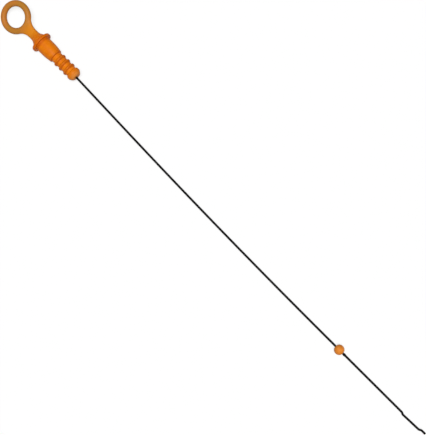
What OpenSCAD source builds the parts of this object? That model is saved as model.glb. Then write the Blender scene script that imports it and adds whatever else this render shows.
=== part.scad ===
// Engine oil dipstick: a moulded finger-ring handle with its tube stopper, a long spring-wire rod with two
// level steps near its tip, and a guide bead. It lies at rest on its flange, the low edge of its ring and its bead.
// X runs along the stopper's axis towards the tip, Z is up, and the origin is the middle of the stopper's grip,
// from its first sealing lip to its end collar. Distances named below are from the seat under the flange.

/* [Finger ring] */
// Radius of the ring, to the middle of its bar
ring_r = 14; // [12.5:0.5:17]
// Diameter of the ring's round bar
bar_d = 6.4; // [5.4:0.1:7.2]
// From the seat under the flange back to the middle of the ring
ring_back = 39.7; // [38.5:0.1:48]
// Width of the neck between ring and flange
neck_w = 10.2; // [9:0.1:12]
// Thickness of the neck
neck_t = 6; // [5:0.1:6.6]
// Radius of the hollow curve between the ring's side and the neck's
sweep_r = 16; // [8:0.5:17]

/* [Flange] */
// Diameter of the flange
flange_d = 22.6; // [20.5:0.1:25]
// Thickness of the flange
flange_t = 2.8; // [1.6:0.1:3.4]
// Rounding of the flange's rim
rim_round = 0.7; // [0.2:0.1:0.75]
// Diameter at the foot of the cone that carries the neck on the flange
foot_d = 18; // [15:0.5:19]
// Length of that cone
foot_len = 6.4; // [5:0.1:9]

/* [Stopper] */
// Diameter of the stopper's body, at the seat
body_d = 16.9; // [15.6:0.1:17.6]
// How much slimmer the body gets along its straight stretch
body_draft = 0.4; // [0:0.1:0.8]
// Length of the body's straight stretch
body_len = 12.3; // [8:0.1:18]
// Length of the taper below it
taper_len = 7.5; // [5:0.5:10]
// Diameter at the small end of the taper
taper_d = 14.4; // [13.4:0.1:15]
// Diameter of the sealing lips and of the end collar
lip_d = 14.2; // [13.2:0.1:14.8]
// Diameter of the core between the lips
core_d = 11.8; // [9:0.1:12]
// Number of sealing lips
lip_count = 3; // [2:1:4]
// Distance from one lip to the next
lip_pitch = 6.45; // [5.6:0.05:7.5]
// Length of a lip's cylindrical land
lip_land = 1.4; // [0.6:0.1:1.6]
// Length of a lip's steep side, towards the flange
lip_back = 0.8; // [0.4:0.1:1.2]
// Length of a lip's sloping side, towards the tip
lip_lead = 1.5; // [1:0.1:2]
// From the end of the taper to the first lip's land
first_lip = 5.25; // [4:0.05:7]
// Length of the end collar's land
collar_land = 3; // [2:0.1:4]
// Length of the rounded nose past the collar
nose_len = 3.3; // [1.8:0.1:4]
// Diameter of the nose's flat end
nose_d = 9.4; // [8:0.1:11]

/* [Rod] */
// Diameter of the spring wire
wire_d = 2.2; // [1.6:0.1:2.4]
// Length of wire moulded into the stopper
embed_len = 30; // [22:1:36]
// How deep inside the nose the wire turns off the stopper's axis
set_depth = 14.4; // [8:0.2:16]
// Radius of that turn
set_r = 60; // [30:5:100]
// From the seat to the start of the long bow
bow_from = 122.3; // [100:0.1:150]
// Length of the long bow
bow_len = 283; // [220:1:290]
// Slope of the wire past the bow, in degrees
bow_end_slope = 0.33; // [0:0.01:0.6]
// From the seat to the full mark
full_at = 508.6; // [470:0.1:560]
// From the full mark to the refill mark
mark_gap = 21.6; // [16:0.1:30]
// From the refill mark to the tip
tip_past = 5.5; // [4.5:0.1:20]
// How far the wire steps aside at the full mark
full_step = 1.05; // [0.9:0.05:1.6]
// How far the wire steps back at the refill mark
refill_step = 1.4; // [0.9:0.05:1.8]
// Steepness of the wire in a step, in degrees
step_angle = 32; // [20:1:40]
// Radius of the bends in a step
step_r = 2.4; // [1.8:0.1:3]
// How much the wire between the marks leans back, in degrees
gap_lean = 1.9; // [0:0.1:3]
// Chamfer round the wire's tip
tip_chamfer = 0.3; // [0.1:0.05:0.5]

/* [Pinches in the wire] */
// Length of a pinch
pinch_len = 4; // [3:0.1:5]
// Width across a pinch's two ears
pinch_w = 3; // [2.7:0.1:3.6]
// Thickness that the pinch leaves at its middle
pinch_t = 1.4; // [1.1:0.05:1.5]

/* [Guide bead] */
// Diameter of the bead
bead_d = 10.1; // [8:0.1:12]
// Diameter of the flat round each mouth of its hole
bead_flat_d = 4; // [3.4:0.1:5]
// From the seat to the middle of the bead
bead_at = 425.2; // [412:0.1:450]

/* [Hidden] */
$fn = 96;

// Sides of the wire's round section and of the neck's
wire_sides = 24;
neck_sides = 36;
// Steps in a rounded corner, and the share of a side that one rounding may take
corner_steps = 5;
corner_share = 0.45;
// Steps along the neck's hollow curve
sweep_steps = 8;
// How squarely the neck's section is rounded: 2 is an ellipse, more is squarer
neck_squareness = 2.6;
// How far the hollow curve runs into the ring's bar, so that the two cross cleanly, in mm and degrees
sweep_sink = 0.4;
sweep_lap = 8;
// Share of its thickness that the neck has left where it enters the ring
thin_share = 0.88;
// Size of the cone's small end, against the ring's bar that it runs into
cone_tip_share = 0.85;
// Roundings of the stopper's outline, from the neck to the nose
cone_round = 6;
foot_round = 1.6;
body_round = 5;
taper_round = 0.6;
core_round = 0.5;
lip_round = 0.4;
collar_round = 1.4;
nose_round = 1;
// Length of the drop from the taper's end to the core
waist_len = 0.6;
// Steps along a pinch, the turn inside the stopper, the long bow and a bend of a level mark
pinch_steps = 8;
set_steps = 3;
bow_steps = 16;
mark_steps = 5;

flange_r = flange_d / 2;
bar_r = bar_d / 2;
wire_r = wire_d / 2;
bead_r = bead_d / 2;
lip_r = lip_d / 2;
core_r = core_d / 2;

// Where the stopper's features lie along its axis
taper_end = body_len + taper_len;
waist = taper_end + waist_len;
lip_from = taper_end + first_lip;
last_lip = lip_from + (lip_count - 1) * lip_pitch;
collar_at = last_lip + lip_pitch - (collar_land - lip_land) / 4;
nose_end = collar_at + collar_land + nose_len;
grip_mid = (lip_from + collar_at + collar_land) / 2;

// The ring's plane leans so that the flange's rim and the ring's low edge touch the ground together,
// and the bead touches it too
roll = asin((flange_r - bar_r) / ring_r);
bead_drop = (flange_r - bead_r) / sin(roll);

// The neck's hollow curve on each side turns about a point beside it
sweep_w = neck_w / 2 + sweep_r;
sweep_x = sqrt(pow(ring_r + bar_r + sweep_r - sweep_sink, 2) - pow(sweep_w, 2));
sweep_from = atan2(sweep_x, sweep_w) - sweep_lap;

// The wire leaves at the slope that brings it to the bead's place once the bow has turned it
set_at = nose_end - set_depth;
past_bow = bead_at - bow_from - bow_len;
degree = PI / 180;
leave_slope = (bead_drop - (bow_len / 2 + past_bow) * bow_end_slope * degree)
    / (bow_from - set_at + bow_len / 2) / degree;
set_half = set_r * tan(leave_slope / 2);
step_run = 2 * step_r * sin(step_angle);

// A pinch starts at the bead's end, and the one that anchors the wire starts a little past the wire's own end
bead_end = sqrt(pow(bead_r, 2) - pow(bead_flat_d / 2, 2));
anchor_past = pinch_len / 4;

// The wire's route in the ring's plane, as stretches of [length, turn in degrees, steps, pinched or not]
function run(length) = [length, 0, 1, false];
function bend(radius, turn, steps) = [radius * abs(turn) * degree, turn, steps, false];
function pinch() = [pinch_len, 0, pinch_steps, true];
function step_run_on(offset) = run((offset - 2 * step_r * (1 - cos(step_angle))) / sin(step_angle));
TO_NOSE = [
    run(anchor_past),
    pinch(),
    run(embed_len - set_depth - set_half - anchor_past - pinch_len),
    bend(set_r, -leave_slope, set_steps),
    run(bow_from - set_at - set_half)
];
TO_BEAD = [
    [bow_len, leave_slope - bow_end_slope, bow_steps, false],
    run(past_bow)
];
TO_TIP = [
    run(bead_end),
    pinch(),
    run(full_at - bead_at - bead_end - pinch_len - step_run / 2),
    bend(step_r, -step_angle, mark_steps),
    step_run_on(full_step),
    bend(step_r, step_angle + gap_lean, mark_steps),
    run(mark_gap - step_run),
    bend(step_r, step_angle - gap_lean, mark_steps),
    step_run_on(refill_step),
    bend(step_r, bow_end_slope - step_angle, mark_steps),
    run(tip_past - step_run / 2 - tip_chamfer)
];
ROUTE = concat(TO_NOSE, TO_BEAD, TO_TIP);

// A point and heading [x, y, degrees] carried along a share of one stretch
function along(at, stretch, share) = let (
    length = stretch[0] * share, turn = stretch[1] * share,
    chord = turn == 0 ? length : 2 * length / (turn * degree) * sin(turn / 2),
    heading = at[2] + turn / 2
) [at[0] + chord * cos(heading), at[1] + chord * sin(heading), at[2] + turn];
// Where a stretch of the route starts
function start_of(i) = i <= 0 ? [nose_end - embed_len, 0, 0] : along(start_of(i - 1), ROUTE[i - 1], 1);
// One section across the wire: [x, y, heading, half width, half thickness]
function section(i, share) = let (
    at = along(start_of(i), ROUTE[i], share),
    pinched = ROUTE[i][3] ? pow(sin(180 * share), 2) : 0
) [
    at[0], at[1], at[2],
    wire_r + pinched * (pinch_w / 2 - wire_r),
    wire_r - pinched * (wire_r - pinch_t / 2)
];
function sections(first, last) = [
    for (i = [first:last]) for (k = [0:ROUTE[i][2] - 1]) section(i, k / ROUTE[i][2]),
    section(last, 1)
];
// The chamfered end, one section past the last
function tip_section() = let (i = len(ROUTE) - 1, at = start_of(i), end = along(at, run(ROUTE[i][0] + tip_chamfer), 1))
    [end[0], end[1], end[2], wire_r - tip_chamfer, wire_r - tip_chamfer];

// An outline whose corners [x, y, radius] are rounded, each no more than its sides have room for
function unit(v) = v / norm(v);
function corner(a, b, c) = let (
    to_a = unit([a[0] - b[0], a[1] - b[1]]), to_c = unit([c[0] - b[0], c[1] - b[1]]),
    half = acos(to_a * to_c) / 2,
    room = corner_share * min(norm([a[0] - b[0], a[1] - b[1]]), norm([c[0] - b[0], c[1] - b[1]])),
    radius = min(b[2], room * tan(half)),
    middle = [b[0], b[1]] + unit(to_a + to_c) * radius / sin(half),
    first = [b[0], b[1]] + to_a * radius / tan(half) - middle,
    side = sign(cross(to_a, to_c)),
    swing = side * (2 * half - 180)
) [for (k = [0:corner_steps]) let (a = swing * k / corner_steps)
    middle + [first[0] * cos(a) - first[1] * sin(a), first[0] * sin(a) + first[1] * cos(a)]];
function rounded(points) = [for (i = [0:len(points) - 1])
    each points[i][2] == 0 ? [[points[i][0], points[i][1]]]
        : corner(points[(i + len(points) - 1) % len(points)], points[i], points[(i + 1) % len(points)])];

// Turns an outline of [distance along X, radius, rounding] about the X axis
module turned(points) {
    rotate([0, 90, 0])
        rotate_extrude()
            polygon([for (p = rounded(points)) [p[1], p[0]]]);
}

// Lays the ring's plane at the lean that it rests at, with the middle of the grip at the origin
module at_rest() {
    translate([-grip_mid, 0, 0]) rotate([roll, 0, 0]) children();
}

// A closed skin over rings of as many points each
module skinned(rings) {
    sides = len(rings[0]);
    last = len(rings) - 1;
    polyhedron(
        points = [for (ring = rings) each ring],
        faces = concat(
            [[for (j = [0:sides - 1]) j]],
            [for (i = [0:last - 1]) for (j = [0:sides - 1]) let (a = i * sides, k = (j + 1) % sides)
                each [[a + j, a + sides + j, a + sides + k], [a + j, a + sides + k, a + k]]],
            [[for (j = [sides - 1:-1:0]) last * sides + j]]
        )
    );
}

module ring() {
    translate([-ring_back, 0, 0])
        rotate_extrude()
            translate([ring_r, 0]) circle(r = bar_r);
}

// The points of the neck's section at x from the ring's middle
function soft(v) = sign(v) * pow(abs(v), 2 / neck_squareness);
function neck_section(x, half_w, half_t) = [for (j = [0:neck_sides - 1]) let (a = 360 * j / neck_sides)
    [x - ring_back, half_w * soft(cos(a)), half_t * soft(sin(a))]];

// The neck: it leaves the ring on a hollow curve each side and runs straight into the flange
module neck() {
    skinned([
        for (k = [sweep_steps:-1:0])
            let (a = sweep_from * k / sweep_steps, thinner = (1 - thin_share) * pow(k / sweep_steps, 2))
                neck_section(
                    sweep_x - sweep_r * sin(a),
                    neck_w / 2 + sweep_r * (1 - cos(a)),
                    neck_t / 2 * (1 - thinner)
                ),
        neck_section(ring_back - flange_t / 2, neck_w / 2, neck_t / 2)
    ]);
}

// One sealing lip: steep towards the flange, sloping towards the tip, with a short cylindrical land
function lip(at) = [
    [at - lip_back, core_r, lip_round],
    [at, lip_r, lip_round],
    [at + lip_land, lip_r, lip_round],
    [at + lip_land + lip_lead, core_r, core_round]
];

// The cone under the neck, the flange, the tapered body, the lips and the nose, in one outline
module stopper() {
    neck_foot = neck_w / 2;
    cone_tip = bar_r * cone_tip_share;
    turned(concat(
        [
            [-flange_t - foot_len - neck_foot, 0, 0],
            [-flange_t - foot_len - neck_foot, cone_tip, 0],
            [-flange_t - foot_len, neck_foot, cone_round],
            [-flange_t, foot_d / 2, foot_round],
            [-flange_t, flange_r, rim_round],
            [0, flange_r, rim_round],
            [0, body_d / 2, 0],
            [body_len, (body_d - body_draft) / 2, body_round],
            [taper_end, taper_d / 2, taper_round],
            [waist, core_r, core_round]
        ],
        [for (i = [0:lip_count - 1]) each lip(lip_from + i * lip_pitch)],
        [
            [collar_at - lip_back, core_r, lip_round],
            [collar_at, lip_r, lip_round],
            [collar_at + collar_land, lip_r, collar_round],
            [nose_end, nose_d / 2, nose_round],
            [nose_end, 0, 0]
        ]
    ));
}

// A tube over sections [x, y, heading, half width, half thickness] in the ring's plane
module tube(along_wire) {
    skinned([for (s = along_wire) [for (j = [0:wire_sides - 1]) let (a = 360 * j / wire_sides, side = s[3] * cos(a))
        [s[0] - side * sin(s[2]), s[1] + side * cos(s[2]), s[4] * sin(a)]]]);
}

module handle() {
    color("darkorange") at_rest()
        difference() {
            union() {
                ring();
                neck();
                stopper();
            }
            tube(sections(0, len(TO_NOSE) - 1));
        }
}

module rod() {
    color("black") at_rest() tube(concat(sections(0, len(ROUTE) - 1), [tip_section()]));
}

// A ball with a small flat round each mouth of the hole that the wire fills
module bead() {
    at = start_of(len(TO_NOSE) + len(TO_BEAD));
    color("orange") at_rest()
        translate([at[0], at[1], 0]) rotate([0, 0, at[2]])
            difference() {
                intersection() {
                    sphere(r = bead_r);
                    cube([2 * bead_end, bead_d, bead_d], center = true);
                }
                rotate([0, 90, 0]) cylinder(r = wire_r, h = bead_d, center = true);
            }
}

handle();
rod();
bead();
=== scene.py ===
import bpy, bmesh
from math import asin, atan2, cos, pi, radians, sin, sqrt, tan
from mathutils import Matrix, Vector


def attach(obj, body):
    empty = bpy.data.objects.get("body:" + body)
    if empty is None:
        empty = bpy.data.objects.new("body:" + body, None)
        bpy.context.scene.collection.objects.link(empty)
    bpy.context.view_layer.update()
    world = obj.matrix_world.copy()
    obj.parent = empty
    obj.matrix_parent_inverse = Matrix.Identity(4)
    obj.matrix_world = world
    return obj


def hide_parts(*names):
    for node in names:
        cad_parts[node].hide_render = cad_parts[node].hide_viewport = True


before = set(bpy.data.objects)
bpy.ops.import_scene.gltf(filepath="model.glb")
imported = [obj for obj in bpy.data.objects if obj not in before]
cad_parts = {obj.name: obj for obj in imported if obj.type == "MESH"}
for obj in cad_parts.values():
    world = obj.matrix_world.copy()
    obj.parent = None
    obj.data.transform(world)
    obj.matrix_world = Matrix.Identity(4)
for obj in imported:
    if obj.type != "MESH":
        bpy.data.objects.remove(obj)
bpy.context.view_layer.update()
print("engine oil dipstick: frame loaded")

# Shapes are worked out in millimetres, with x from the seat under the flange and the ring's plane flat.
# placePiece then lays them at the lean they rest at and puts the middle of the stopper's grip at the origin.
# The wire adds two things here: how far from the axis it leaves the nose, and where the bead goes.
layout = {
    "flangeR": 11.3,
    "gripMid": 36.025,
    "noseEnd": 50.3,
    "ringR": 14.0,  # to the middle of the bar
    "barR": 3.2,
}
lean = asin((layout["flangeR"] - layout["barR"]) / layout["ringR"])
restPlace = (Matrix.Scale(0.001, 4) @ Matrix.Translation((-layout["gripMid"], 0, 0))
             @ Matrix.Rotation(lean, 4, "X"))

# the two halves of a mould leave a low ridge where they meet, here in the plane of the ring
seamValues = {
    "wide": 0.24,
    "high": 0.06,
    "nearPlane": 0.002,  # how close to that plane a corner counts as in it
}


def raiseSeam(mesh, onSkin):
    flat = restPlace.inverted()

    def onSeam(vert):
        place = flat @ vert.co
        return abs(place.z) < seamValues["nearPlane"] and onSkin(place)

    bm = bmesh.new()
    bm.from_mesh(mesh)
    bmesh.ops.bevel(bm, geom=[e for e in bm.edges if all(onSeam(v) for v in e.verts)],
                    offset=0.0005 * seamValues["wide"], offset_type="OFFSET", segments=2, profile=0.5,
                    affect="EDGES", material=-1)
    bm.normal_update()
    for vert in bm.verts:
        if onSeam(vert):
            vert.co += vert.normal * 0.001 * seamValues["high"]
    bm.to_mesh(mesh)
    bm.free()


def placePiece(bm, name, material, node, levels=0, onSkin=None):
    bmesh.ops.remove_doubles(bm, verts=bm.verts, dist=1e-5)
    bmesh.ops.recalc_face_normals(bm, faces=bm.faces)
    bmesh.ops.transform(bm, matrix=restPlace, verts=bm.verts)
    mesh = bpy.data.meshes.new(name)
    bm.to_mesh(mesh)
    bm.free()
    mesh.shade_smooth()
    mesh.materials.append(material)
    piece = bpy.data.objects.new(name, mesh)
    bpy.context.scene.collection.objects.link(piece)
    if levels:
        smooth = piece.modifiers.new("smoothForm", "SUBSURF")
        smooth.levels = smooth.render_levels = levels
        finished = bpy.data.meshes.new_from_object(piece.evaluated_get(bpy.context.evaluated_depsgraph_get()))
        piece.modifiers.clear()
        piece.data = finished
    if onSkin:
        raiseSeam(piece.data, onSkin)
    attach(piece, "root")
    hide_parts(node)


# sRGB hex to the linear values that Blender's nodes take
def toLinear(hexColour):
    parts = [int(hexColour[i:i + 2], 16) / 255 for i in (1, 3, 5)]
    return [p / 12.92 if p <= 0.04045 else ((p + 0.055) / 1.055) ** 2.4 for p in parts] + [1.0]


# adds a node with its settings and links; an input goes by its name, or by its number as in0, in1 and so on
def addNode(tree, kind, settings=None, **inputs):
    node = tree.nodes.new(kind)
    for key, value in (settings or {}).items():
        setattr(node, key, value)
    for key, value in inputs.items():
        numbered = key.startswith("in") and key[2:].isdigit()
        socket = node.inputs[int(key[2:]) if numbered else key.replace("_", " ")]
        if isinstance(value, bpy.types.NodeSocket):
            tree.links.new(value, socket)
        else:
            socket.default_value = value
    return node


# settings that several nodes share
smoothly = {"interpolation_type": "SMOOTHSTEP"}
blending = {"data_type": "RGBA"}
darkening = {"data_type": "RGBA", "blend_type": "MULTIPLY"}
times = {"operation": "MULTIPLY"}
timesThenPlus = {"operation": "MULTIPLY_ADD"}


def newMaterial(name, **constant):
    material = bpy.data.materials.new(name)
    material.use_nodes = True
    tree = material.node_tree
    shader = tree.nodes["Principled BSDF"]
    for key, value in constant.items():
        shader.inputs[key.replace("_", " ")].default_value = value
    where = addNode(tree, "ShaderNodeTexCoord")
    return material, tree, shader, where


def perMm(size):
    return 1000.0 / size  # noise scale for a feature of that many millimetres


nylonValues = {
    "colour": "#E67D06",
    "deepColour": "#DB7102",
    "mottleMm": 4.0,
    "mottle": {"From_Min": 0.35, "From_Max": 0.65},
    "ior": 1.53,
    "specular": 0.12,
    "roughness": 0.45,
    "smoother": 0.05,  # how far the flow clouds take the roughness down and up
    "rougher": 0.07,
    "speckTint": "#B07A50",
    "speckMm": 0.6,
    "specks": {"From_Min": 0.58, "From_Max": 0.76, "To_Max": 0.25},
    "partingTint": "#C89A70",
    "partingMm": 0.16,  # how far dirt reaches to each side of the parting line
    "partingShare": 0.35,
    "grainMm": 0.35,
    "grainStrength": 0.12,
    "grainDeep": 0.0001,
}
# the bead's melt is a paler shade of the same orange
beadNylonValues = dict(nylonValues, colour="#EA8E36", deepColour="#D67E28", mottleMm=2.5)

# Tones of the handle, with painted shade and painted light on it. Places are in mm from the seat or the axis,
# and To_Max is the share reached.
handleToneAndShadeValues = {
    "wanderMm": 6.0,  # how far the edges of the toned and painted zones wander
    "patchMm": 11.0,
    "patches": {"From_Min": 0.38, "From_Max": 0.62},
    "neckColour": "#D6851C",
    "neck": {"From_Min": -4.0, "From_Max": -12.0, "To_Max": 0.8},
    "ringColour": "#BA742E",
    "greasyColour": "#AE772B",
    "ring": {"From_Min": -14.5, "From_Max": -26.5, "To_Max": 0.92},
    # painted light: the nose's end is made paler to stand in for light on it
    "noseLitColour": "#EA9A4C",
    "nose": {"From_Min": 48.5, "From_Max": 52.5, "To_Max": 0.6},
    # painted shade on the lips' crests, their slopes that face the tip and the taper's end
    "lipShadeTint": "#DCCB90",
    "crest": {"From_Min": 6.0, "From_Max": 6.8, "To_Max": 0.5},
    "leading": {"From_Min": 0.1, "From_Max": 0.5},  # how far the skin faces the tip
    "stopper": {"From_Min": 17.2, "From_Max": 18.8},
    "collar": {"From_Min": 41.0, "From_Max": 43.2, "To_Min": 1.0, "To_Max": 0.3},
    # painted shade on the flange's rim
    "rimShadeTint": "#E8CB98",
    "rim": {"From_Min": 10.0, "From_Max": 11.2},
    "flange": {"From_Min": -4.5, "From_Max": -2.8, "To_Max": 0.65},
    # painted shade in the corner under the flange
    "cornerShadeTint": "#DFCB8C",
    "face": {"From_Min": -0.1, "From_Max": 0.2},
    "corner": {"From_Min": 1.5, "From_Max": 3.8, "To_Min": 0.85, "To_Max": 0.0},
}


def paintHandleToneAndShade(tree, tone, clouds, where, flat, place, v):
    # the ring is a duller, browner ochre in patches, and the neck, less, a yellower orange; painted light: the
    # nose's end is made paler to stand in for light on it
    along = place.outputs["X"]
    wander = addNode(tree, "ShaderNodeMath", timesThenPlus, in0=clouds, in1=v["wanderMm"],
                     in2=along).outputs[0]
    patches = addNode(tree, "ShaderNodeTexNoise", Vector=flat, Scale=perMm(v["patchMm"]), Detail=2.0)
    patches = addNode(tree, "ShaderNodeMapRange", Value=patches.outputs["Fac"], **v["patches"])
    ringTone = addNode(tree, "ShaderNodeMix", blending, in0=patches.outputs["Result"],
                     in6=toLinear(v["ringColour"]), in7=toLinear(v["greasyColour"])).outputs[2]
    zones = (("neck", toLinear(v["neckColour"])), ("ring", ringTone), ("nose", toLinear(v["noseLitColour"])))
    for zone, colour in zones:
        toneAndShade = addNode(tree, "ShaderNodeMapRange", smoothly, Value=wander, **v[zone]).outputs["Result"]
        tone = addNode(tree, "ShaderNodeMix", blending, in0=toneAndShade, in6=tone, in7=colour).outputs[2]

    # painted shade: the lips' crests, their slopes that face the tip and the taper's end are darkened, and so
    # are the flange's rim and the corner under the flange, where the tube's mouth meets it
    aside = addNode(tree, "ShaderNodeCombineXYZ", Y=place.outputs["Y"], Z=place.outputs["Z"]).outputs[0]
    radius = addNode(tree, "ShaderNodeVectorMath", {"operation": "LENGTH"}, in0=aside).outputs["Value"]
    crest = addNode(tree, "ShaderNodeMapRange", smoothly, Value=radius, **v["crest"]).outputs["Result"]
    facing = addNode(tree, "ShaderNodeSeparateXYZ", Vector=where.outputs["Normal"]).outputs["X"]
    leading = addNode(tree, "ShaderNodeMapRange", smoothly, Value=facing, **v["leading"]).outputs["Result"]
    paintedLipShade = addNode(tree, "ShaderNodeMath", {"operation": "MAXIMUM"}, in0=crest, in1=leading).outputs[0]
    shadeBands = (("lipShadeTint", paintedLipShade, (along, "stopper"), (along, "collar")),
              ("rimShadeTint", 1.0, (radius, "rim"), (along, "flange")),
              ("cornerShadeTint", 1.0, (along, "face"), (along, "corner")))
    for tint, amount, *limits in shadeBands:
        for measure, limit in limits:
            within = addNode(tree, "ShaderNodeMapRange", smoothly, Value=measure, **v[limit]).outputs["Result"]
            amount = addNode(tree, "ShaderNodeMath", times, in0=amount, in1=within).outputs[0]
        tone = addNode(tree, "ShaderNodeMix", darkening, in0=amount,
                       in6=tone, in7=toLinear(v[tint])).outputs[2]
    return tone


# Glass-free nylon, injection moulded against a lightly spark-eroded steel tool: an even satin that shows soft
# wide highlights, a very fine grain, faint flow clouds and dirt along the hair-thin parting line.
def makeNylon(name, v, toneAndShade=None):
    material, tree, shader, where = newMaterial(name, Roughness=v["roughness"], IOR=v["ior"],
                                                Specular_IOR_Level=v["specular"])
    flat = addNode(tree, "ShaderNodeMapping", Vector=where.outputs["Object"],
                   Rotation=(-lean, 0, 0)).outputs[0]
    # the same place in millimetres, with X from the seat
    place = addNode(tree, "ShaderNodeVectorMath", timesThenPlus, in0=flat, in1=(1000, 1000, 1000),
                    in2=(layout["gripMid"], 0, 0)).outputs[0]
    place = addNode(tree, "ShaderNodeSeparateXYZ", Vector=place)
    # flow clouds: the two oranges drift into each other as the melt cooled
    clouds = addNode(tree, "ShaderNodeTexNoise", Vector=flat, Scale=perMm(v["mottleMm"]),
                     Detail=3.0).outputs["Fac"]
    drift = addNode(tree, "ShaderNodeMapRange", Value=clouds, **v["mottle"]).outputs["Result"]
    tone = addNode(tree, "ShaderNodeMix", blending, in0=drift,
                   in6=toLinear(v["colour"]), in7=toLinear(v["deepColour"])).outputs[2]
    # the handle also gets its own tones, and painted shade and painted light
    if toneAndShade:
        tone = paintHandleToneAndShade(tree, tone, clouds, where, flat, place, toneAndShade)
    # fine specks of settled dust and pigment
    specks = addNode(tree, "ShaderNodeTexNoise", Vector=flat, Scale=perMm(v["speckMm"]), Detail=4.0,
                     Roughness=0.7).outputs["Fac"]
    dark = addNode(tree, "ShaderNodeMapRange", Value=specks, **v["specks"]).outputs["Result"]
    tone = addNode(tree, "ShaderNodeMix", darkening, in0=dark,
                   in6=tone, in7=toLinear(v["speckTint"])).outputs[2]
    # dirt settles along the parting line, whose ridge is in the mesh
    across = addNode(tree, "ShaderNodeMath", {"operation": "ABSOLUTE"}, in0=place.outputs["Z"]).outputs[0]
    dirt = addNode(tree, "ShaderNodeMapRange", smoothly, Value=across, From_Max=v["partingMm"],
                   To_Min=v["partingShare"], To_Max=0.0).outputs["Result"]
    tone = addNode(tree, "ShaderNodeMix", darkening, in0=dirt,
                   in6=tone, in7=toLinear(v["partingTint"])).outputs[2]
    tree.links.new(tone, shader.inputs["Base Color"])
    rough = addNode(tree, "ShaderNodeMapRange", Value=clouds, From_Min=0.3, From_Max=0.7,
                    To_Min=v["roughness"] - v["smoother"], To_Max=v["roughness"] + v["rougher"])
    tree.links.new(rough.outputs["Result"], shader.inputs["Roughness"])
    grain = addNode(tree, "ShaderNodeTexNoise", Vector=flat, Scale=perMm(v["grainMm"]),
                    Detail=2.0).outputs["Fac"]
    bump = addNode(tree, "ShaderNodeBump", Height=grain, Strength=v["grainStrength"], Distance=v["grainDeep"])
    tree.links.new(bump.outputs[0], shader.inputs["Normal"])
    return material


wireValues = {
    "colour": "#040404",
    "rubbedColour": "#181614",
    "mottleMm": 2.2,
    "rubbed": {"From_Min": 0.5, "From_Max": 0.72, "To_Max": 0.8},
    "drawMm": 0.12,  # spacing of the draw lines round the wire
    "drawLong": 50.0,  # how many times longer than wide a line is
    "drawStrength": 0.4,
    "drawDeep": 0.00004,
    "specular": 0.05,
    "roughness": 0.5,
    "rougher": 0.1,  # how far the finish takes the roughness up and, where it is thin, down
    "smoother": 0.08,
}


# Cold-drawn spring steel with a baked black finish: near-black, fine lines along the wire from the die, faint
# clouds where the finish is thinner, and a narrow soft highlight that the lines break up.
def makeBlackWire(v):
    material, tree, shader, where = newMaterial("blackenedSpringWire", Roughness=v["roughness"],
                                                Specular_IOR_Level=v["specular"])
    where = where.outputs["Object"]
    drawn = addNode(tree, "ShaderNodeMapping", Vector=where, Scale=(1 / v["drawLong"], 1, 1)).outputs[0]
    lines = addNode(tree, "ShaderNodeTexNoise", Vector=drawn, Scale=perMm(v["drawMm"]),
                    Detail=2.0).outputs["Fac"]
    clouds = addNode(tree, "ShaderNodeTexNoise", Vector=where, Scale=perMm(v["mottleMm"]), Detail=4.0,
                     Roughness=0.6).outputs["Fac"]
    thin = addNode(tree, "ShaderNodeMapRange", Value=clouds, **v["rubbed"]).outputs["Result"]
    tone = addNode(tree, "ShaderNodeMix", blending, in0=thin,
                   in6=toLinear(v["colour"]), in7=toLinear(v["rubbedColour"])).outputs[2]
    tree.links.new(tone, shader.inputs["Base Color"])
    rough = addNode(tree, "ShaderNodeMapRange", Value=clouds, From_Min=0.3, From_Max=0.7,
                    To_Min=v["roughness"] + v["rougher"], To_Max=v["roughness"] - v["smoother"])
    tree.links.new(rough.outputs["Result"], shader.inputs["Roughness"])
    bump = addNode(tree, "ShaderNodeBump", Height=lines, Strength=v["drawStrength"], Distance=v["drawDeep"])
    tree.links.new(bump.outputs[0], shader.inputs["Normal"])
    return material


handleNylon = makeNylon("mouldedOrangeNylon", nylonValues, handleToneAndShadeValues)
beadNylon = makeNylon("mouldedBeadNylon", beadNylonValues)
blackWire = makeBlackWire(wireValues)
print("materials made")


# The handle is one moulding: ring, neck, flange, body, sealing lips and nose. It is a cage of few faces,
# smoothed by subdivision. A smoothed polygon of n corners draws in, and drawIn says how far.
def drawIn(corners):
    return (2 + cos(2 * pi / corners)) / 3


handleValues = {
    "ringBack": 39.7,
    "ringParts": 24,
    "barParts": 8,
    "openAngle": 45.0,  # half the stretch of ring that the neck grows from, in degrees
    "openWide": 2.5,  # how much wider than high that opening is
    # neck sections: x, half width, half thickness, squareness
    "neck": [
        (-25.6, 9.75, 2.8, 2.2), (-23.7, 8.0, 2.85, 2.4), (-21.5, 6.6, 2.9, 2.5), (-18.7, 5.55, 2.98, 2.6),
        (-15.6, 5.1, 3.0, 2.6), (-13.6, 5.1, 3.05, 2.6), (-11.6, 5.1, 3.8, 2.4), (-9.5, 5.2, 4.95, 2.1),
        (-7.4, 6.2, 6.2, 2.0),
    ],
    # corners of the turned outline: x, radius, rounding
    "outline": [
        (-2.8, 9.0, 1.6), (-2.8, 11.3, 0.7), (0.0, 11.3, 0.7), (0.0, 8.45, 0.3), (12.3, 8.25, 4.0),
        (19.8, 7.2, 0.6), (20.4, 5.9, 0.5),
    ],
    "coreR": 5.9,
    "lipR": 7.1,
    "lips": [25.05, 31.5, 37.95],
    "lipBack": 0.8,
    "lipLand": 1.4,
    "lipLead": 1.5,
    "lipRounds": (0.4, 0.3, 0.35, 0.6),  # of its four corners, from the flange's side
    "collarAt": 44.0,
    "collarLand": 3.0,
    "collarRounds": (0.4, 0.35, 1.3),
    "noseR": 4.7,
    "noseRound": 0.9,
    # the nose's flat end and the little dimple that the wire comes out of: x from the end, radius, and the
    # share of the way from the axis to the wire at which its middle lies
    "mouth": [(0, 2.8, 0.4), (0, 1.65, 1), (0, 1.4, 1), (-0.2, 1.3, 1), (-0.7, 1.18, 1)],
    "seamClear": 2.4,  # the parting line stops this far from the wire
    "levels": 2,
}


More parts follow.
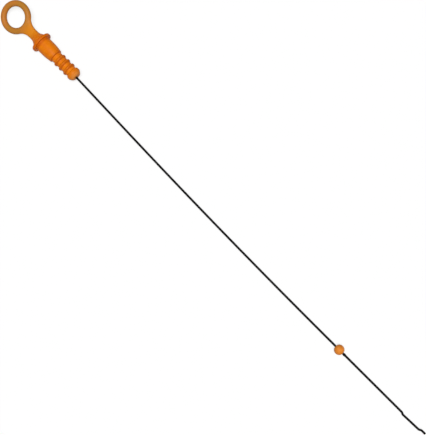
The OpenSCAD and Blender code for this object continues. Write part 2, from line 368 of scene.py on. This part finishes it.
def stopperCorners(v):
    corners = list(v["outline"])
    coreR, lipR = v["coreR"], v["lipR"]
    for at in v["lips"]:
        end = at + v["lipLand"]
        places = ((at - v["lipBack"], coreR), (at, lipR), (end, lipR), (end + v["lipLead"], coreR))
        corners += [(x, r, rounding) for (x, r), rounding in zip(places, v["lipRounds"])]
    at = v["collarAt"]
    places = ((at - v["lipBack"], coreR), (at, lipR), (at + v["collarLand"], lipR))
    corners += [(x, r, rounding) for (x, r), rounding in zip(places, v["collarRounds"])]
    return corners + [(layout["noseEnd"], v["noseR"], v["noseRound"])]


# a loop at each corner and one to each side, as far off as the rounding asks for and the side has room for
def supportLoops(corners, first, last):
    perRounding, mostOfSide = 1.75, 0.42
    loops = []
    for i, (x, r, rounding) in enumerate(corners):
        here = Vector((x, r))
        before = corners[i - 1] if i else first
        after = corners[i + 1] if i + 1 < len(corners) else last
        for other in (before, after):
            away = Vector(other[:2]) - here
            loops.append(here + away.normalized() * min(perRounding * rounding, mostOfSide * away.length))
            if other is before:
                loops.append(here)
    return loops


# pulls a new loop of faces out of the open edges, and returns its outer edges and corners
def extrudeLoop(bm, edges):
    new = bmesh.ops.extrude_edge_only(bm, edges=edges)["geom"]
    return ([g for g in new if isinstance(g, bmesh.types.BMEdge)],
            [g for g in new if isinstance(g, bmesh.types.BMVert)])


def makeHandle(v):
    bm = bmesh.new()
    barHigh = layout["barR"] / drawIn(v["barParts"])
    bar = bmesh.ops.create_circle(bm, segments=v["barParts"], radius=barHigh)["verts"]
    bmesh.ops.rotate(bm, verts=bar, matrix=Matrix.Rotation(pi / 2, 3, "X"))
    bmesh.ops.translate(bm, verts=bar, vec=(layout["ringR"], 0, 0))
    bmesh.ops.spin(bm, geom=bm.verts[:] + bm.edges[:], axis=(0, 0, 1), angle=2 * pi, steps=v["ringParts"],
                   use_merge=True)
    grow = 1 / drawIn(v["ringParts"])
    bmesh.ops.scale(bm, verts=bm.verts, vec=(grow, grow, 1))
    middles = [(f, f.calc_center_median()) for f in bm.faces]
    opened = [f for f, c in middles
              if c.xy.length > layout["ringR"] * grow and abs(atan2(c.y, c.x)) < radians(v["openAngle"])]
    bmesh.ops.delete(bm, geom=opened, context="FACES")
    bmesh.ops.translate(bm, verts=bm.verts, vec=(-v["ringBack"], 0, 0))

    # the neck grows out of the opening, loop by loop, and turns into the stopper
    edges = [e for e in bm.edges if e.is_boundary]
    parts = len(edges)
    grow = 1 / drawIn(parts)
    outline = supportLoops(stopperCorners(v), v["neck"][-1], (layout["noseEnd"], 0))
    sections = v["neck"] + [(p.x, p.y, p.y, 2.0) for p in outline]
    for number, (x, halfWide, halfThick, squareness) in enumerate(sections):
        edges, loop = extrudeLoop(bm, edges)
        squeeze = 1 if number else v["openWide"]
        loop.sort(key=lambda p: atan2(p.co.z, p.co.y / squeeze))
        first = min(range(parts), key=lambda k: abs(atan2(loop[k].co.z, loop[k].co.y)))
        for k, vert in enumerate(loop):
            a = 2 * pi * (k - first) / parts
            c, s = cos(a), sin(a)
            vert.co = (x, grow * halfWide * abs(c) ** (2 / squareness) * (1 if c > 0 else -1),
                       grow * halfThick * abs(s) ** (2 / squareness) * (1 if s > 0 else -1))
    exitY = -layout["wireOffset"]
    for x, r, aside in v["mouth"]:
        before = list({p for e in edges for p in e.verts})
        middleY = sum(p.co.y for p in before) / parts
        size = max((p.co.yz - Vector((middleY, 0))).length for p in before)
        edges, loop = extrudeLoop(bm, edges)
        share = r * grow / size
        bmesh.ops.scale(bm, verts=loop, vec=(1, share, share), space=Matrix.Translation((0, -middleY, 0)))
        bmesh.ops.translate(bm, verts=loop,
                            vec=(layout["noseEnd"] + x - loop[0].co.x, exitY * aside - middleY, 0))
    bmesh.ops.contextual_create(bm, geom=edges)

    def onSkin(place):
        return (place.yz - Vector((exitY, 0))).length > v["seamClear"]

    placePiece(bm, "handleMoulding", handleNylon, "handle", v["levels"], onSkin)


# The rod is one drawn wire, moulded in at one end, pinched in two places and stepped at the level marks.
rodValues = {
    "wireR": 1.1,
    "sides": 24,
    "embedLen": 30.0,
    "setDepth": 14.4,
    "setR": 60.0,
    "bowFrom": 122.3,
    "bowLen": 283.0,
    "bowEndSlope": 0.33,
    "beadAt": 425.2,
    "fullAt": 508.6,
    "markGap": 21.6,
    "tipPast": 5.5,
    "fullStep": 1.05,
    "refillStep": 1.4,
    "stepAngle": 32.0,
    "stepR": 2.4,
    "gapLean": 1.9,
    "pinchLen": 4.0,
    "pinchW": 3.0,
    "pinchT": 1.4,
    "tipRound": 0.3,
    "tipParts": 3,
}
beadValues = {
    "beadR": 5.05,
    "flatR": 2.0,
    "around": 64,
    "along": 48,
    "mouth": [(0, 1.45), (-0.25, 1.16)],  # x from the flat and radius, down the mouth of the hole
    "mouthRound": 0.3,
    "skinShare": 0.995,  # of the radius, past which a place is on the ball
}
beadDrop = (layout["flangeR"] - beadValues["beadR"]) / sin(lean)
beadEnd = sqrt(beadValues["beadR"] ** 2 - beadValues["flatR"] ** 2)


# The wire's stretches up to the long bow, to the bead and to the tip. Each has its length, its turn in
# degrees, its number of parts, and whether it is pinched.
def wireRoute(v):
    setAt = layout["noseEnd"] - v["setDepth"]
    pastBow = v["beadAt"] - v["bowFrom"] - v["bowLen"]
    # the slope at which the wire leaves, so that the bead lies on the plane of the flange's rim and the ring
    leave = ((beadDrop - (v["bowLen"] / 2 + pastBow) * radians(v["bowEndSlope"]))
             / (v["bowFrom"] - setAt + v["bowLen"] / 2))
    leaveDeg = leave * 180 / pi
    setHalf = v["setR"] * tan(leave / 2)
    stepAngle, stepR = v["stepAngle"], v["stepR"]
    stepRun = 2 * stepR * sin(radians(stepAngle))
    past = v["pinchLen"] / 4

    def bend(r, turn, parts):
        return (r * abs(radians(turn)), turn, parts, False)

    def slant(offset):
        rest = offset - 2 * stepR * (1 - cos(radians(stepAngle)))
        return (rest / sin(radians(stepAngle)), 0, 1, False)

    def straight(length, parts=1):
        return (length, 0, parts, False)

    pinch = (v["pinchLen"], 0, 16, True)
    toNose = [straight(past), pinch, straight(v["embedLen"] - v["setDepth"] - setHalf - past - v["pinchLen"]),
              bend(v["setR"], -leaveDeg, 3), straight(v["bowFrom"] - setAt - setHalf, 6)]
    toBead = [(v["bowLen"], leaveDeg - v["bowEndSlope"], 40, False), straight(pastBow, 2)]
    toMark = v["fullAt"] - v["beadAt"] - beadEnd - v["pinchLen"] - stepRun / 2
    toTip = [straight(beadEnd), pinch, straight(toMark, 6),
             bend(stepR, -stepAngle, 10), slant(v["fullStep"]), bend(stepR, stepAngle + v["gapLean"], 10),
             straight(v["markGap"] - stepRun, 3),
             bend(stepR, stepAngle - v["gapLean"], 10), slant(v["refillStep"]),
             bend(stepR, v["bowEndSlope"] - stepAngle, 10),
             straight(v["tipPast"] - stepRun / 2 - v["tipRound"])]
    layout["wireOffset"] = v["setDepth"] * tan(leave)
    return toNose, toBead, toTip


def makeRod(v):
    toNose, toBead, toTip = wireRoute(v)
    bm = bmesh.new()
    loop = bmesh.ops.create_circle(bm, segments=v["sides"], radius=v["wireR"])["verts"]
    bmesh.ops.rotate(bm, verts=loop, matrix=Matrix.Rotation(pi / 2, 3, "Y"))
    at = Vector((layout["noseEnd"] - v["embedLen"], 0, 0))
    bmesh.ops.translate(bm, verts=loop, vec=at)
    edges = bm.edges[:]
    bmesh.ops.contextual_create(bm, geom=edges)
    heading, wide, thick = 0.0, 1.0, 1.0
    for part, (length, turn, steps, pinched) in enumerate(toNose + toBead + toTip):
        if part == len(toNose) + len(toBead):
            layout["beadPlace"] = (at.copy(), heading)
        for k in range(steps):
            swing = radians(turn) / steps
            chord = length / steps if not swing else 2 * (length / steps) / swing * sin(swing / 2)
            move = Vector((cos(heading + swing / 2), sin(heading + swing / 2), 0)) * chord
            amount = sin(pi * (k + 1) / steps) ** 2 if pinched else 0
            newWide = 1 + amount * (v["pinchW"] / 2 / v["wireR"] - 1)
            newThick = 1 - amount * (1 - v["pinchT"] / 2 / v["wireR"])
            edges, loop = extrudeLoop(bm, edges)
            bmesh.ops.rotate(bm, verts=loop, cent=at, matrix=Matrix.Rotation(swing, 3, "Z"))
            bmesh.ops.translate(bm, verts=loop, vec=move)
            at += move
            heading += swing
            if pinched:
                local = (Matrix.Translation(at) @ Matrix.Rotation(heading, 4, "Z")).inverted()
                bmesh.ops.scale(bm, verts=loop, vec=(1, newWide / wide, newThick / thick), space=local)
                wide, thick = newWide, newThick
    # the tip is broken round
    for k in range(v["tipParts"]):
        a0, a1 = (pi / 2 * n / v["tipParts"] for n in (k, k + 1))
        move = Vector((cos(heading), sin(heading), 0)) * v["tipRound"] * (sin(a1) - sin(a0))
        edges, loop = extrudeLoop(bm, edges)
        bmesh.ops.translate(bm, verts=loop, vec=move)
        at += move
        r0, r1 = (v["wireR"] - v["tipRound"] * (1 - cos(a)) for a in (a0, a1))
        local = (Matrix.Translation(at) @ Matrix.Rotation(heading, 4, "Z")).inverted()
        bmesh.ops.scale(bm, verts=loop, vec=(1, r1 / r0, r1 / r0), space=local)
    bmesh.ops.contextual_create(bm, geom=edges)
    placePiece(bm, "wireRod", blackWire, "rod")


# The bead is a ball moulded round the wire, flat at the mouths of its hole.
def makeBead(v):
    at, heading = layout["beadPlace"]
    bm = bmesh.new()
    bmesh.ops.create_uvsphere(bm, u_segments=v["around"], v_segments=v["along"], radius=v["beadR"])
    bmesh.ops.rotate(bm, verts=bm.verts, matrix=Matrix.Rotation(pi / 2, 3, "Y"))
    for side in (1, -1):
        bmesh.ops.bisect_plane(bm, geom=bm.verts[:] + bm.edges[:] + bm.faces[:],
                               plane_co=(side * beadEnd, 0, 0), plane_no=(side, 0, 0), clear_outer=True)
    for side in (1, -1):
        rim = [e for e in bm.edges if e.is_boundary and e.verts[0].co.x * side > 0]
        edges = rim
        for x, r in v["mouth"]:
            size = max(p.co.yz.length for e in edges for p in e.verts)
            edges, loop = extrudeLoop(bm, edges)
            bmesh.ops.scale(bm, verts=loop, vec=(1, r / size, r / size))
            bmesh.ops.translate(bm, verts=loop, vec=(x * side, 0, 0))
        bmesh.ops.bevel(bm, geom=rim, offset=v["mouthRound"], offset_type="OFFSET", segments=4, profile=0.5,
                        affect="EDGES", material=-1)
    bmesh.ops.bridge_loops(bm, edges=[e for e in bm.edges if e.is_boundary])
    bmesh.ops.transform(bm, matrix=Matrix.Translation(at) @ Matrix.Rotation(heading, 4, "Z"), verts=bm.verts)

    def onSkin(place):
        return (place - at).length > v["skinShare"] * v["beadR"]

    placePiece(bm, "guideBead", beadNylon, "bead", onSkin=onSkin)


makeRod(rodValues)
print("wire drawn, pinched and stepped")
makeHandle(handleValues)
print("handle moulded")
makeBead(beadValues)
print("bead moulded on")


# The floor, the light and the camera stand where the photograph's did.
stageValues = {
    "sunStrength": 3.05,
    "sunSpread": 20.0,  # degrees across, for soft edges
    "sunAside": 0.03,  # how far the sun stands off the camera, to its right and above
    "sunAbove": -0.02,
    "ambient": 0.11,
    "floorHalf": 3.0,
    "floorX": 0.2,
    "floorShade": 0.98,
    "floorShare": 0.2,  # how much of the real lit floor the camera sees under the white
    "bounceShade": 0.35,  # the floor that lights the object from below
}
cameraValues = {
    "place": (0.44458 - 0.001 * layout["gripMid"], -0.30938, 1.14600),
    "looks": (-0.16274, 0.25345, -0.95356),
    "right": (0.70332, 0.70761, 0.06804),
    "lens": 68.08,
    "filmHigh": 24.0,
    "clipStart": 0.01,
}

looks = Vector(cameraValues["looks"]).normalized()
right = Vector(cameraValues["right"])
right = (right - looks * right.dot(looks)).normalized()
upward = right.cross(looks)


def greyShade(level):
    return (level, level, level, 1)


# 1 for a ray from the camera, straight or by way of a reflection, and 0 for one that lights the object
def addSeen(tree):
    path = addNode(tree, "ShaderNodeLightPath").outputs
    seen = path["Is Camera Ray"]
    for other in ("Is Glossy Ray", "Is Transmission Ray"):
        seen = addNode(tree, "ShaderNodeMath", {"operation": "MAXIMUM"}, in0=seen, in1=path[other]).outputs[0]
    return seen


def makeFloor(v):
    bm = bmesh.new()
    bmesh.ops.create_grid(bm, x_segments=4, y_segments=4, size=v["floorHalf"])
    bmesh.ops.translate(bm, verts=bm.verts, vec=(v["floorX"], 0, -0.001 * layout["flangeR"]))
    mesh = bpy.data.meshes.new("studioFloor")
    bm.to_mesh(mesh)
    bm.free()
    material = bpy.data.materials.new("matteWhiteFloor")
    material.use_nodes = True
    tree = material.node_tree
    tree.nodes.clear()
    paper = addNode(tree, "ShaderNodeBsdfDiffuse", Color=greyShade(v["floorShade"])).outputs[0]
    dim = addNode(tree, "ShaderNodeBsdfDiffuse", Color=greyShade(v["bounceShade"])).outputs[0]
    white = addNode(tree, "ShaderNodeEmission", Color=greyShade(1), Strength=1.0).outputs[0]
    shown = addNode(tree, "ShaderNodeMixShader", in0=v["floorShare"], in1=white, in2=paper).outputs[0]
    both = addNode(tree, "ShaderNodeMixShader", in0=addSeen(tree), in1=dim, in2=shown).outputs[0]
    addNode(tree, "ShaderNodeOutputMaterial", Surface=both)
    mesh.materials.append(material)
    floor = bpy.data.objects.new("studioFloor", mesh)
    bpy.context.scene.collection.objects.link(floor)


def makeWorld(v):
    world = bpy.data.worlds.new("paleStudio")
    world.use_nodes = True
    tree = world.node_tree
    tree.nodes.clear()
    white = addNode(tree, "ShaderNodeBackground", Color=greyShade(1), Strength=1.0).outputs[0]
    ambient = addNode(tree, "ShaderNodeBackground", Color=greyShade(1), Strength=v["ambient"]).outputs[0]
    both = addNode(tree, "ShaderNodeMixShader", in0=addSeen(tree), in1=ambient, in2=white).outputs[0]
    addNode(tree, "ShaderNodeOutputWorld", Surface=both)
    bpy.context.scene.world = world


def makeLamp(v):
    lamp = bpy.data.lights.new("softKey", "SUN")
    lamp.energy = v["sunStrength"]
    lamp.angle = radians(v["sunSpread"])
    key = bpy.data.objects.new("softKey", lamp)
    toLight = -looks + right * v["sunAside"] + upward * v["sunAbove"]
    key.rotation_euler = (-toLight).to_track_quat("-Z", "Y").to_euler()
    bpy.context.scene.collection.objects.link(key)


def makeCamera(v):
    data = bpy.data.cameras.new("studioCamera")
    data.sensor_fit = "VERTICAL"
    data.sensor_height = v["filmHigh"]
    data.lens = v["lens"]
    data.clip_start = v["clipStart"]
    camera = bpy.data.objects.new("studioCamera", data)
    turn = Matrix((right, upward, -looks)).transposed().to_4x4()
    camera.matrix_world = Matrix.Translation(v["place"]) @ turn
    bpy.context.scene.collection.objects.link(camera)
    bpy.context.scene.camera = camera


makeFloor(stageValues)
makeWorld(stageValues)
makeLamp(stageValues)
makeCamera(cameraValues)
bpy.context.scene.view_settings.view_transform = "Standard"
print("floor, light and camera set")
